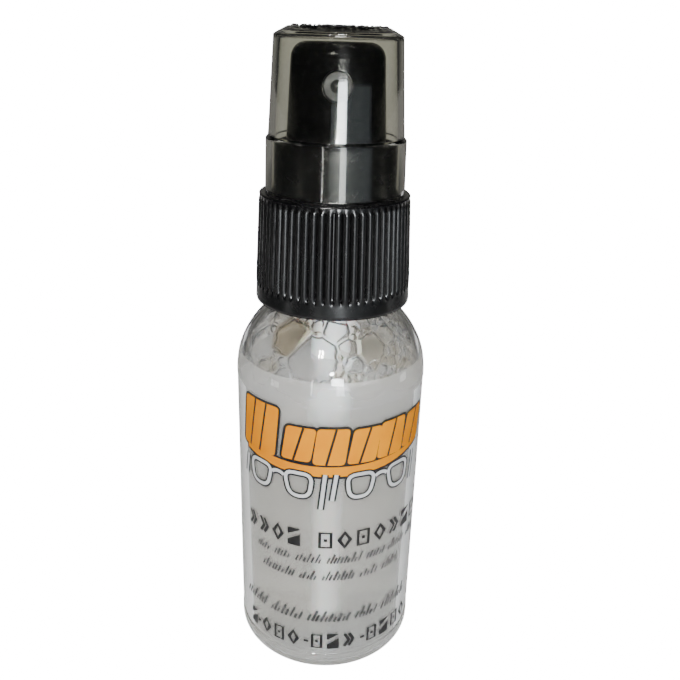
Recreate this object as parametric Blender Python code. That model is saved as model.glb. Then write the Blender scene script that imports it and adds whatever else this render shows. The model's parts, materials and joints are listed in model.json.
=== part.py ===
"""Lens cleaning spray: a clear round 30 ml bottle with a 20-410 neck, a fine mist pump held by a
ribbed screw collar, and a clear overcap.

Run with: blender --background --python part.py
The model is in metres with +Z up. Its origin is the centre of the bottle's standing ring, and the
nozzle points to -Y. Every piece turns or slides on the Z axis, so every origin is on that axis.
The dimensions below are in millimetres, and MM turns them into metres.
"""

import math

import bmesh
import bpy
from mathutils import Matrix, Vector

MM = 0.001

# Fits
SEAT_GAP = 0.2  # between faces that rest on each other
SLIDE_GAP = 0.1  # round a piece that slides or is pressed in

# Bottle: 30 ml round body, 20-410 neck finish
BODY_RADIUS = 15.0
BODY_CORNER = 2.1
WALL = 0.8
BASE_PUSH_UP = 1.2
STANDING_RING = (11.3, 12.9)  # inner and outer radius of the ring that the bottle stands on
SHOULDER_HEIGHT = 49.8
SHOULDER_RADIUS = 13.66
NECK_RADIUS = 8.75
NECK_BORE = 7.2
NECK_TOP = 75.2

# Screw thread of the neck and the collar
THREAD_PITCH = 3.175  # eight threads to the inch
THREAD_TURNS = 1.5
THREAD_DEPTH = 1.1
THREAD_ROOT_WIDTH = 1.5
THREAD_CREST_WIDTH = 0.7
THREAD_START = 73.4  # height of the neck thread's middle at its upper end

# Label
LABEL_RECESS = 0.25
LABEL_FILM = 0.13
LABEL_BOTTOM = 3.8
LABEL_TOP = 49.2
LABEL_SIDES = 40  # of the bottle's sides: the film leaves a gap at the back

# Collar
COLLAR_BOTTOM = 61.8
COLLAR_LEDGE = 78.0
COLLAR_FOOT_RADIUS = 11.91
COLLAR_TOP_RADIUS = 11.19
COLLAR_BORE = 10.3
RIBS = 60
RIB_DEPTH = 0.45
RIB_BOTTOM = 64.0
RIB_TOP = 77.4
SLEEVE_RADIUS = 9.0
SLEEVE_WALL = 0.85
SLEEVE_TOP = 85.2
COLLAR_PLATE = 1.1

# Pump
GASKET = 0.8
FLANGE = 0.8
TURRET_FLANGE = 0.7
STEM_RADIUS = 1.9
STEM_BORE = 1.05
CHAMBER_BORE = 2.7
CHAMBER_RADIUS = 3.3
CUP_BORE = 4.4
CUP_RADIUS = 5.2
CUP_FLOOR = 68.0
SPRING_SHELF = 51.0
BALL_RADIUS = 1.25
CAGE_RADIUS = BALL_RADIUS + 0.25
INLET_RADIUS = 0.7
TUBE_RADIUS = 1.7
TUBE_BORE = 1.0
TUBE_BOTTOM = 3.0
TUBE_SOCKET = 5.2  # depth of the socket that holds the tube
TUBE_SLANT = 0.6  # rise of the tube's cut foot for each millimetre across it
PISTON_LENGTH = 10.3
STROKE = 4.2

# Actuator
ACTUATOR_BOTTOM = 84.2
ACTUATOR_TOP = 98.5
ACTUATOR_FOOT_RADIUS = 7.25
ACTUATOR_TOP_RADIUS = 6.59
ACTUATOR_CORNER = 2.2
ACTUATOR_WALL = 1.0
STEM_SOCKET_TOP = 91.5
FEED_RADIUS = 0.7
NOZZLE_HEIGHT = 93.0
NOZZLE_BORE = 2.05
NOZZLE_FACE = 6.3  # from the axis to the front of the nozzle insert
NOZZLE_BOSS_RADIUS = 3.3
NOZZLE_BOSS_END = 5.8
SWIRL_POST_RADIUS = 1.3
SWIRL_POST_END = 5.6
ORIFICE_RADIUS = 0.15

# Overcap
CAP_TOP = 100.65
CAP_RIM = 99.43
CAP_STEP = 85.8
CAP_WALL = 0.95
CAP_SKIRT_RADII = (10.29, 10.15)  # at its foot and at its step
CAP_UPPER_RADII = (9.80, 9.00)  # above its step and at its rim
CAP_FLAT_RADIUS = 7.0

# Heights of the pieces stacked on the neck's rim
GASKET_BOTTOM = NECK_TOP + SEAT_GAP
FLANGE_BOTTOM = GASKET_BOTTOM + GASKET + SEAT_GAP
FLANGE_TOP = FLANGE_BOTTOM + FLANGE
TURRET_BOTTOM = FLANGE_TOP + SEAT_GAP
TURRET_TOP = TURRET_BOTTOM + TURRET_FLANGE
PLATE_BOTTOM = TURRET_TOP + SEAT_GAP
PLATE_TOP = PLATE_BOTTOM + COLLAR_PLATE
STEM_STOP = TURRET_BOTTOM - SEAT_GAP
CHIMNEY_TOP = PLATE_TOP + 0.9
CAP_BOTTOM = COLLAR_LEDGE + SEAT_GAP

# Heights inside the pump
CAGE_SEAT_TOP = SPRING_SHELF - 2.0
CAGE_SEAT_BOTTOM = CAGE_SEAT_TOP - (CAGE_RADIUS - INLET_RADIUS)  # a 45 degree seat
TUBE_TOP = CAGE_SEAT_BOTTOM - 1.0
BALL_HEIGHT = CAGE_SEAT_TOP - CAGE_RADIUS + (BALL_RADIUS + SLIDE_GAP) * math.sqrt(2)
PISTON_TOP = CUP_FLOOR + STROKE + 0.9
PISTON_BOTTOM = PISTON_TOP - PISTON_LENGTH
PIN_FLANGE = PISTON_BOTTOM - 2.4

SIDES = 48  # of the large round pieces
SMALL_SIDES = 24  # of the pump's larger pieces
FINE_SIDES = 20  # of the pieces inside the pump


def clear_scene():
    for obj in list(bpy.data.objects):
        bpy.data.objects.remove(obj, do_unlink=True)


def plastic(name, colour, roughness, metallic=0.0, alpha=1.0):
    """A Principled material; colour is linear RGB."""
    material = bpy.data.materials.new(name)
    material.use_nodes = True
    shader = material.node_tree.nodes["Principled BSDF"]
    shader.inputs["Base Color"].default_value = (*colour, 1.0)
    shader.inputs["Roughness"].default_value = roughness
    shader.inputs["Metallic"].default_value = metallic
    shader.inputs["Alpha"].default_value = alpha
    material.diffuse_color = (*colour, alpha)
    return material


def group(name, height, parent=None):
    """An empty on the axis for the pieces that move together."""
    empty = bpy.data.objects.new(name, None)
    bpy.context.collection.objects.link(empty)
    place(empty, height, parent)
    return empty


def world_height(obj):
    below = world_height(obj.parent) if obj.parent else 0.0
    return obj.location.z + below


def place(obj, height, parent):
    """Puts an object on the axis at a height in millimetres, under its parent."""
    obj.parent = parent
    obj.location.z = height * MM - (world_height(parent) if parent else 0.0)


def add_object(name, bm, height, parent, material):
    """Closes a bmesh built at assembly heights into an object whose origin is at the given height."""
    bmesh.ops.translate(bm, verts=bm.verts, vec=(0, 0, -height * MM))
    bmesh.ops.recalc_face_normals(bm, faces=bm.faces)
    mesh = bpy.data.meshes.new(name)
    bm.to_mesh(mesh)
    bm.free()
    mesh.shade_smooth()
    mesh.set_sharp_from_angle(angle=math.radians(35))
    obj = bpy.data.objects.new(name, mesh)
    bpy.context.collection.objects.link(obj)
    if material:
        mesh.materials.append(material)
    place(obj, height, parent)
    return obj


def arc(centre, radius, start, end, steps):
    """Points of an arc in the outline's plane, from one angle to another in degrees."""
    points = []
    for i in range(steps + 1):
        angle = math.radians(start + (end - start) * i / steps)
        points.append((centre[0] + radius * math.cos(angle), centre[1] + radius * math.sin(angle)))
    return points


def spin_outline(bm, outline, sides):
    """Turns an outline of (radius, height) points about Z; one that starts on the axis stays open."""
    verts = [bm.verts.new((r * MM, 0, z * MM)) for r, z in outline]
    ends_on_axis = outline[0][0] == 0
    pairs = list(zip(verts, verts[1:]))
    if not ends_on_axis:
        pairs.append((verts[-1], verts[0]))
    edges = [bm.edges.new(pair) for pair in pairs]
    bmesh.ops.spin(
        bm, geom=verts + edges, cent=(0, 0, 0), axis=(0, 0, 1), dvec=(0, 0, 0),
        angle=math.tau, steps=sides, use_merge=True, use_duplicate=False,
    )
    bmesh.ops.remove_doubles(bm, verts=bm.verts, dist=1e-6)


def turned(name, outline, height, parent, material, sides):
    """A turned piece with its origin at a height on the axis."""
    bm = bmesh.new()
    spin_outline(bm, outline, sides)
    return add_object(name, bm, height, parent, material)


def combine(obj, other, operation):
    """Cuts away or joins another object with a Boolean, and hides that object as a guide."""
    modifier = obj.modifiers.new(other.name, "BOOLEAN")
    modifier.operation = operation
    modifier.solver = "EXACT"
    modifier.object = other
    other.hide_render = True
    other.display_type = "WIRE"


def rod(name, radius, start, end, height, parent, sides=FINE_SIDES):
    """A guide cylinder along Y, from y = start to y = end, at a height on the axis."""
    bm = bmesh.new()
    middle = Matrix.Translation((0, (start + end) / 2 * MM, height * MM))
    upright = middle @ Matrix.Rotation(math.pi / 2, 4, "X")
    bmesh.ops.create_cone(
        bm, cap_ends=True, segments=sides, radius1=radius * MM, radius2=radius * MM,
        depth=abs(end - start) * MM, matrix=upright,
    )
    return add_object(name, bm, height, parent, None)


def thread(name, wall, crest, top, parent):
    """A guide for a thread: a trapezoid ridge from the wall's radius to the crest's, fading at its ends.

    It runs down from the height of its upper end for THREAD_TURNS, and starts a little inside the wall.
    """
    bm = bmesh.new()
    steps = round(THREAD_TURNS * 24)
    direction = 1 if crest > wall else -1
    root = wall - direction * 0.3
    rings = []
    for i in range(steps + 1):
        angle = math.tau * (THREAD_TURNS * i / steps + 0.5 / SIDES)  # on the middles of the wall's sides
        fade = min(1.0, 0.2 + 0.27 * min(i, steps - i))
        middle = top - THREAD_PITCH * THREAD_TURNS * i / steps
        tip = wall + (crest - wall) * fade
        corners = [
            (root, middle + THREAD_ROOT_WIDTH / 2),
            (tip, middle + THREAD_CREST_WIDTH / 2),
            (tip, middle - THREAD_CREST_WIDTH / 2),
            (root, middle - THREAD_ROOT_WIDTH / 2),
        ]
        rings.append([
            bm.verts.new((r * math.cos(angle) * MM, -r * math.sin(angle) * MM, z * MM))
            for r, z in corners
        ])
    for low, high in zip(rings, rings[1:]):
        for j in range(4):
            bm.faces.new((low[j], low[j - 1], high[j - 1], high[j]))
    bm.faces.new(rings[0])
    bm.faces.new(reversed(rings[-1]))
    return add_object(name, bm, top, parent, None)


def coil(name, mean_radius, wire, bottom, top, turns, parent, material):
    """A compression spring with closed ends, wound between two heights."""
    steps = round(turns * 12)
    low = bottom + wire / 2
    high = top - wire / 2
    curve = bpy.data.curves.new(name, "CURVE")
    curve.dimensions = "3D"
    curve.bevel_depth = wire / 2 * MM
    curve.bevel_resolution = 1
    curve.use_fill_caps = True
    spline = curve.splines.new("POLY")
    spline.points.add(steps)
    closed = (wire + 0.06) / (high - low)  # one closed turn at each end climbs by about one wire
    for i, point in enumerate(spline.points):
        turn = turns * i / steps
        if turn < 1:
            climb = closed * turn
        elif turn > turns - 1:
            climb = 1 - closed * (turns - turn)
        else:
            climb = closed + (1 - 2 * closed) * (turn - 1) / (turns - 2)
        angle = math.tau * turn
        x = mean_radius * math.cos(angle)
        y = mean_radius * math.sin(angle)
        point.co = (x * MM, y * MM, (low - bottom + (high - low) * climb) * MM, 1)
    spring = bpy.data.objects.new(name, curve)
    bpy.context.collection.objects.link(spring)
    curve.materials.append(material)
    place(spring, bottom, parent)
    return spring


def make_bottle(parent, material):
    """The blown bottle: one skin from the pushed-up base round the rim and down the inside."""
    inner = BODY_RADIUS - LABEL_RECESS - WALL
    panel = BODY_RADIUS - LABEL_RECESS
    arc_centre = (BODY_RADIUS - SHOULDER_RADIUS, SHOULDER_HEIGHT)
    neck_angle = math.degrees(math.acos((NECK_RADIUS - arc_centre[0]) / SHOULDER_RADIUS))
    inner_arc = inner - arc_centre[0]
    bore_angle = math.degrees(math.acos((NECK_BORE - arc_centre[0]) / inner_arc))
    ring_in, ring_out = STANDING_RING
    outline = [(0, BASE_PUSH_UP), (ring_in - 0.9, BASE_PUSH_UP - 0.4), (ring_in, 0)]
    outline += arc((ring_out, BODY_CORNER), BODY_CORNER, -90, 0, 3)
    outline += [
        (BODY_RADIUS, LABEL_BOTTOM - 0.5), (panel, LABEL_BOTTOM - 0.25),
        (panel, LABEL_TOP + 0.25), (BODY_RADIUS, LABEL_TOP + 0.5),
    ]
    outline += arc(arc_centre, SHOULDER_RADIUS, 0, neck_angle, 6)
    outline += [
        (NECK_RADIUS, NECK_TOP - 0.3), (NECK_RADIUS - 0.3, NECK_TOP),
        (NECK_BORE + 0.2, NECK_TOP), (NECK_BORE, NECK_TOP - 0.2),
    ]
    outline += arc(arc_centre, inner_arc, bore_angle, 0, 5)
    outline += arc((inner - 1.6, 2.7), 1.6, 0, -90, 2)
    outline += [(ring_in - 0.5, 1.1), (ring_in - 1.2, BASE_PUSH_UP + 0.6), (0, BASE_PUSH_UP + 1.0)]
    bottle = turned("bottle", outline, 0, parent, material, SIDES)
    ridge = thread(
        "neck_thread_guide", NECK_RADIUS, NECK_RADIUS + THREAD_DEPTH, THREAD_START, parent
    )
    combine(bottle, ridge, "UNION")


def make_label(parent, material):
    """The film lies on the bottle's flat sides, in its recessed panel, and stays open at the back."""
    outside = BODY_RADIUS - LABEL_RECESS + 0.07 + LABEL_FILM
    radii = (outside - LABEL_FILM, outside)
    bm = bmesh.new()
    first = (270 - 180 * LABEL_SIDES / SIDES) / 360 * math.tau
    columns = []
    for i in range(LABEL_SIDES + 1):
        angle = first + math.tau * i / SIDES
        corners = [
            (radii[0], LABEL_BOTTOM), (radii[1], LABEL_BOTTOM), (radii[1], LABEL_TOP), (radii[0], LABEL_TOP)
        ]
        columns.append([
            bm.verts.new((r * math.cos(angle) * MM, r * math.sin(angle) * MM, z * MM))
            for r, z in corners
        ])
    for left, right in zip(columns, columns[1:]):
        for j in range(4):
            bm.faces.new((left[j], left[j - 1], right[j - 1], right[j]))
    bm.faces.new(columns[0])
    bm.faces.new(reversed(columns[-1]))
    add_object("label_film", bm, LABEL_BOTTOM, parent, material)


def collar_radius(height):
    """The crest radius of the tapered collar at a height."""
    share = (height - COLLAR_BOTTOM) / (COLLAR_LEDGE - COLLAR_BOTTOM)
    return COLLAR_FOOT_RADIUS + (COLLAR_TOP_RADIUS - COLLAR_FOOT_RADIUS) * share


def make_ribs(parent):
    """A guide holding all the ribs, each a tapered bar that stands on the collar's groove surface."""
    half_crest = 0.17
    half_root = 0.40
    bm = bmesh.new()
    for k in range(RIBS):
        turn = Matrix.Rotation(math.tau * (k + 0.5) / RIBS, 3, "Z")
        ends = []
        for height in (RIB_BOTTOM - 0.2, RIB_TOP + 0.15):
            crest = collar_radius(height) - 0.06
            root = crest - RIB_DEPTH - 0.2
            corners = [(root, -half_root), (crest, -half_crest), (crest, half_crest), (root, half_root)]
            ends.append([bm.verts.new(turn @ Vector((x, y, height)) * MM) for x, y in corners])
        for j in range(4):
            bm.faces.new((ends[0][j - 1], ends[0][j], ends[1][j], ends[1][j - 1]))
        bm.faces.new(reversed(ends[0]))
        bm.faces.new(ends[1])
    return add_object("rib_guide", bm, COLLAR_BOTTOM, parent, None)


def make_collar(parent, material):
    """The screw collar: skirt with ribs and thread, ledge for the overcap, sleeve round the button."""
    sleeve_bore = SLEEVE_RADIUS - SLEEVE_WALL
    outline = [
        (COLLAR_BORE, COLLAR_BOTTOM),
        (COLLAR_FOOT_RADIUS - 0.4, COLLAR_BOTTOM),
        (COLLAR_FOOT_RADIUS, COLLAR_BOTTOM + 0.4),
        (collar_radius(RIB_BOTTOM), RIB_BOTTOM - 0.1),
        (collar_radius(RIB_BOTTOM) - RIB_DEPTH, RIB_BOTTOM + 0.1),
        (collar_radius(RIB_TOP) - RIB_DEPTH, RIB_TOP - 0.2),
        (collar_radius(RIB_TOP), RIB_TOP),
        (COLLAR_TOP_RADIUS - 0.2, COLLAR_LEDGE),
        (SLEEVE_RADIUS, COLLAR_LEDGE),
        (SLEEVE_RADIUS - 0.05, SLEEVE_TOP - 0.2),
        (SLEEVE_RADIUS - 0.25, SLEEVE_TOP),
        (sleeve_bore + 0.15, SLEEVE_TOP),
        (sleeve_bore, SLEEVE_TOP - 0.2),
        (sleeve_bore, PLATE_TOP),
        (STEM_RADIUS + 2.4, PLATE_TOP),
        (STEM_RADIUS + 2.4, PLATE_BOTTOM),
        (SLEEVE_RADIUS - 0.4, PLATE_BOTTOM),
        (SLEEVE_RADIUS - 0.4, NECK_TOP + 0.8),
        (COLLAR_BORE, NECK_TOP + 0.8),
    ]
    collar = turned("collar", outline, COLLAR_BOTTOM, parent, material, RIBS)
    combine(collar, make_ribs(parent), "UNION")
    ridge = thread(
        "collar_thread_guide", COLLAR_BORE, COLLAR_BORE - THREAD_DEPTH - 0.05,
        THREAD_START - THREAD_PITCH / 2, parent,
    )
    combine(collar, ridge, "UNION")


def make_overcap(parent, material):
    """The clear overcap: a tapered cup with a wider skirt that slips over the collar's sleeve."""
    foot, step = CAP_SKIRT_RADII
    above_step, rim = CAP_UPPER_RADII
    outline = [(0, CAP_TOP), (CAP_FLAT_RADIUS, CAP_TOP), (rim, CAP_RIM)]
    outline += [
        (above_step, CAP_STEP + 0.2),
        (step, CAP_STEP - 0.2),
        (foot, CAP_BOTTOM),
        (foot - CAP_WALL, CAP_BOTTOM),
        (step - CAP_WALL + 0.05, SLEEVE_TOP + 0.3),
        (above_step - CAP_WALL, SLEEVE_TOP + 0.6),
        (rim - CAP_WALL, CAP_RIM - 0.35),
        (CAP_FLAT_RADIUS, CAP_TOP - 1.2),
        (0, CAP_TOP - 1.2),
    ]
    turned("overcap", outline, CAP_BOTTOM, parent, material, SIDES)


def make_turret(parent, material):
    """The snap cap of the pump: its chimney guides the stem, its bead keeps the collar on."""
    guide = STEM_RADIUS + SLIDE_GAP
    chimney = STEM_RADIUS + 2.2
    plug = CUP_BORE - SLIDE_GAP
    outline = [
        (guide, CHIMNEY_TOP),
        (chimney - 0.2, CHIMNEY_TOP),
        (chimney + 0.5, CHIMNEY_TOP - 0.25),
        (chimney + 0.5, PLATE_TOP + 0.35),
        (chimney, PLATE_TOP + SEAT_GAP),
        (chimney, TURRET_TOP),
        (SLEEVE_RADIUS - 1.1, TURRET_TOP),
        (SLEEVE_RADIUS - 1.1, TURRET_BOTTOM),
        (plug, TURRET_BOTTOM),
        (plug, TURRET_BOTTOM - 3.4),
        (plug - 0.65, TURRET_BOTTOM - 3.4),
        (plug - 0.65, TURRET_BOTTOM),
        (guide, TURRET_BOTTOM),
    ]
    turned("turret", outline, TURRET_BOTTOM, parent, material, SMALL_SIDES)


def make_housing(parent, material):
    """The pump cylinder: flange, cup, chamber, ball cage with a 45 degree seat, and tube socket."""
    socket = TUBE_RADIUS + 0.15
    spigot = socket + 0.75
    outline = [
        (SLEEVE_RADIUS - 1.0, FLANGE_TOP),
        (SLEEVE_RADIUS - 1.0, FLANGE_BOTTOM),
        (CUP_RADIUS, FLANGE_BOTTOM),
        (CUP_RADIUS, CUP_FLOOR),
        (CHAMBER_RADIUS, CUP_FLOOR - 1.5),
        (CHAMBER_RADIUS, SPRING_SHELF - 0.6),
        (spigot, SPRING_SHELF - 1.6),
        (spigot, TUBE_TOP - TUBE_SOCKET),
        (socket, TUBE_TOP - TUBE_SOCKET),
        (socket, TUBE_TOP),
        (INLET_RADIUS, TUBE_TOP),
        (INLET_RADIUS, CAGE_SEAT_BOTTOM),
        (CAGE_RADIUS, CAGE_SEAT_TOP),
        (CAGE_RADIUS, SPRING_SHELF),
        (CHAMBER_BORE, SPRING_SHELF),
        (CHAMBER_BORE, CUP_FLOOR - 0.4),
        (CHAMBER_BORE + 0.3, CUP_FLOOR),
        (CUP_BORE, CUP_FLOOR),
        (CUP_BORE, FLANGE_TOP),
    ]
    housing = turned("pump_housing", outline, FLANGE_BOTTOM, parent, material, SMALL_SIDES)
    vent = rod("vent_hole_guide", 0.4, 3.0, 7.0, FLANGE_BOTTOM - 4.6, parent, sides=12)
    combine(housing, vent, "DIFFERENCE")


def make_dip_tube(parent, material):
    """The suction tube, cut at a slant at its lower end."""
    outline = [
        (TUBE_BORE, TUBE_BOTTOM), (TUBE_RADIUS, TUBE_BOTTOM),
        (TUBE_RADIUS, TUBE_TOP - SEAT_GAP), (TUBE_BORE, TUBE_TOP - SEAT_GAP),
    ]
    bm = bmesh.new()
    spin_outline(bm, outline, FINE_SIDES)
    for vert in bm.verts:
        if vert.co.z < (TUBE_BOTTOM + 0.01) * MM:
            vert.co.z += TUBE_SLANT * (vert.co.x + TUBE_RADIUS * MM)
    add_object("dip_tube", bm, TUBE_BOTTOM, parent, material)


def make_gasket(parent, material):
    outline = [
        (CUP_RADIUS + 0.3, GASKET_BOTTOM), (NECK_RADIUS - 0.35, GASKET_BOTTOM),
        (NECK_RADIUS - 0.35, GASKET_BOTTOM + GASKET), (CUP_RADIUS + 0.3, GASKET_BOTTOM + GASKET),
    ]
    turned("neck_gasket", outline, GASKET_BOTTOM, parent, material, SMALL_SIDES)


def make_ball(parent, material):
    bm = bmesh.new()
    bmesh.ops.create_uvsphere(
        bm, u_segments=16, v_segments=10, radius=BALL_RADIUS * MM,
        matrix=Matrix.Translation((0, 0, BALL_HEIGHT * MM)),
    )
    add_object("inlet_ball", bm, BALL_HEIGHT, parent, material)


def make_stem(parent, material):
    """The hollow stem; its flange stops under the turret, its thin end stands inside the piston."""
    thin = 1.6
    outline = [
        (STEM_BORE, STEM_SOCKET_TOP - SEAT_GAP),
        (STEM_RADIUS - 0.2, STEM_SOCKET_TOP - SEAT_GAP),
        (STEM_RADIUS, STEM_SOCKET_TOP - SEAT_GAP - 0.3),
        (STEM_RADIUS, STEM_STOP),
        (CUP_BORE - 1.0, STEM_STOP),
        (CUP_BORE - 1.0, STEM_STOP - 0.7),
        (thin, STEM_STOP - 0.7),
        (thin, CUP_FLOOR + 0.8),
        (STEM_BORE, CUP_FLOOR + 0.8),
    ]
    turned("stem", outline, STEM_STOP, parent, material, FINE_SIDES)


def make_valve_pin(parent, material):
    """The pin: spring stub, flange, 45 degree cone under the piston, and a cross-shaped shaft."""
    shaft_top = CUP_FLOOR + 5.0
    shaft = STEM_BORE - SLIDE_GAP
    cone_top = PISTON_BOTTOM - 0.25
    outline = [
        (0, PIN_FLANGE - 1.6),
        (1.5, PIN_FLANGE - 1.6),
        (1.5, PIN_FLANGE),
        (2.35, PIN_FLANGE),
        (2.35, PIN_FLANGE + 0.6),
        (shaft + 0.9, PIN_FLANGE + 0.85),
        (shaft, cone_top),
        (0.45, cone_top + 0.1),
        (0.45, shaft_top),
        (0, shaft_top),
    ]
    pin = turned("valve_pin", outline, PIN_FLANGE, parent, material, FINE_SIDES)
    length = shaft_top - 0.2 - cone_top
    for name, angle in (("pin_fin_guide_x", 0), ("pin_fin_guide_y", math.pi / 2)):
        bm = bmesh.new()
        middle = Matrix.Translation((0, 0, (cone_top + length / 2) * MM))
        shape = Matrix.Diagonal((2 * shaft * MM, 0.45 * MM, length * MM, 1))
        bmesh.ops.create_cube(bm, size=1, matrix=middle @ Matrix.Rotation(angle, 4, "Z") @ shape)
        combine(pin, add_object(name, bm, PIN_FLANGE, parent, None), "UNION")


def make_piston(parent, material):
    """The soft piston: two lips on the chamber's bore, and an inner lip on the pin's cone."""
    lip = CHAMBER_BORE - SLIDE_GAP
    bore = 1.75
    outline = [
        (bore, PISTON_TOP),
        (CUP_BORE - 1.0, PISTON_TOP),
        (CUP_BORE - 1.0, PISTON_TOP - 0.6),
        (2.2, PISTON_TOP - 0.6),
        (2.2, PISTON_BOTTOM + 4.8),
        (lip, PISTON_BOTTOM + 4.4),
        (lip, PISTON_BOTTOM + 3.8),
        (2.3, PISTON_BOTTOM + 3.4),
        (2.3, PISTON_BOTTOM + 1.4),
        (lip, PISTON_BOTTOM + 0.8),
        (lip, PISTON_BOTTOM + 0.2),
        (2.4, PISTON_BOTTOM),
        (STEM_BORE + 0.1, PISTON_BOTTOM),
        (STEM_BORE + 0.1, PISTON_BOTTOM + 0.8),
        (bore, PISTON_BOTTOM + 1.6),
    ]
    turned("piston", outline, PISTON_BOTTOM, parent, material, FINE_SIDES)


def make_actuator(parent, material):
    """The button: a tapered shell with a stem socket, and a nozzle bore round a swirl post."""
    ceiling = ACTUATOR_TOP - 2.4
    boss = STEM_RADIUS + 1.2
    socket = STEM_RADIUS + SLIDE_GAP
    corner_centre = (ACTUATOR_TOP_RADIUS - ACTUATOR_CORNER, ACTUATOR_TOP - ACTUATOR_CORNER)
    outline = [(0, ACTUATOR_TOP - 0.25)]
    outline += arc(corner_centre, ACTUATOR_CORNER, 90, 0, 5)
    outline += [
        (ACTUATOR_FOOT_RADIUS, ACTUATOR_BOTTOM),
        (ACTUATOR_FOOT_RADIUS - ACTUATOR_WALL, ACTUATOR_BOTTOM),
        (ACTUATOR_TOP_RADIUS - ACTUATOR_WALL, ceiling),
        (boss, ceiling),
        (boss, ACTUATOR_BOTTOM + 0.8),
        (socket, ACTUATOR_BOTTOM + 0.8),
        (socket, STEM_SOCKET_TOP),
        (FEED_RADIUS, STEM_SOCKET_TOP),
        (FEED_RADIUS, NOZZLE_HEIGHT + 2.1),
        (0, NOZZLE_HEIGHT + 2.1),
    ]
    actuator = turned("actuator", outline, ACTUATOR_BOTTOM, parent, material, 36)
    guides = (
        ("nozzle_boss_guide", NOZZLE_BOSS_RADIUS, -2.0, -NOZZLE_BOSS_END, NOZZLE_HEIGHT, "UNION"),
        ("nozzle_bore_guide", NOZZLE_BORE, -4.0, -7.5, NOZZLE_HEIGHT, "DIFFERENCE"),
        ("swirl_post_guide", SWIRL_POST_RADIUS, -3.7, -SWIRL_POST_END, NOZZLE_HEIGHT, "UNION"),
        ("feed_hole_guide", 0.32, 0.0, -4.4, NOZZLE_HEIGHT + 1.66, "DIFFERENCE"),
    )
    for name, radius, start, end, height, operation in guides:
        combine(actuator, rod(name, radius, start, end, height, parent), operation)


def make_nozzle_insert(parent, material):
    """The orifice cup: turned about its own axis, then laid down so that its orifice faces -Y."""
    outside = NOZZLE_BORE - SLIDE_GAP
    inside = SWIRL_POST_RADIUS + 0.12
    face = NOZZLE_FACE
    outline = [
        (ORIFICE_RADIUS, face - 0.3), (ORIFICE_RADIUS + 0.4, face), (outside - 0.15, face),
        (outside, face - 0.15), (outside, face - 2.0), (inside, face - 2.0), (inside, face - 0.55),
        (ORIFICE_RADIUS, face - 0.55),
    ]
    bm = bmesh.new()
    spin_outline(bm, outline, FINE_SIDES)
    bmesh.ops.rotate(bm, verts=bm.verts, cent=(0, 0, 0), matrix=Matrix.Rotation(math.pi / 2, 3, "X"))
    bmesh.ops.translate(bm, verts=bm.verts, vec=(0, 0, NOZZLE_HEIGHT * MM))
    add_object("nozzle_insert", bm, NOZZLE_HEIGHT, parent, material)


def main():
    clear_scene()
    clear_pet = plastic("clear_pet", (0.86, 0.88, 0.88), 0.05, alpha=0.3)
    clear_film = plastic("clear_film", (0.80, 0.55, 0.12), 0.2, alpha=0.5)
    clear_cap = plastic("clear_cap", (0.55, 0.55, 0.48), 0.1, alpha=0.35)
    black = plastic("black_plastic", (0.012, 0.012, 0.014), 0.3)
    natural = plastic("natural_plastic", (0.75, 0.78, 0.80), 0.4)
    soft = plastic("soft_plastic", (0.70, 0.72, 0.74), 0.5)
    rubber = plastic("seal_rubber", (0.55, 0.55, 0.53), 0.7)
    steel = plastic("spring_steel", (0.60, 0.60, 0.60), 0.25, metallic=1.0)

    bottle = group("bottle_group", 0)
    pump = group("pump_group", NECK_TOP, bottle)
    collar = group("collar_group", COLLAR_BOTTOM, pump)
    cap = group("overcap_group", COLLAR_LEDGE, collar)
    plunger = group("plunger_group", STEM_STOP, pump)
    piston = group("piston_group", PISTON_TOP, plunger)
    button = group("actuator_group", STEM_SOCKET_TOP, plunger)

    make_bottle(bottle, clear_pet)
    make_label(bottle, clear_film)
    make_collar(collar, black)
    make_overcap(cap, clear_cap)

    make_turret(pump, natural)
    make_housing(pump, natural)
    make_dip_tube(pump, soft)
    make_gasket(pump, rubber)
    coil("return_spring", 2.1, 0.45, SPRING_SHELF + SEAT_GAP, PIN_FLANGE - SEAT_GAP, 7, pump, steel)
    ball = group("ball_group", BALL_HEIGHT, pump)
    make_ball(ball, steel)

    make_stem(plunger, natural)
    make_valve_pin(plunger, soft)
    coil(
        "precompression_spring", 2.3, 0.35, PISTON_TOP + SEAT_GAP, STEM_STOP - 0.7 - SEAT_GAP,
        4, plunger, steel,
    )
    make_piston(piston, soft)
    make_actuator(button, black)
    make_nozzle_insert(button, black)


main()
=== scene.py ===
"""Looks of the lens cleaning spray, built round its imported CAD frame.

Clear PET bottle with hazy liquid and foam, printed clear label, ribbed black collar with its sleeve,
black button, clear overcap, and the pump that shows through them.
Lengths below are in millimetres and MM turns them into metres. The object stands on z = 0, its axis
is the Z axis and its nozzle points to -Y.
"""

import json
import math
import random

import bmesh
import bpy
import numpy as np
from mathutils import Matrix, Vector


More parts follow.
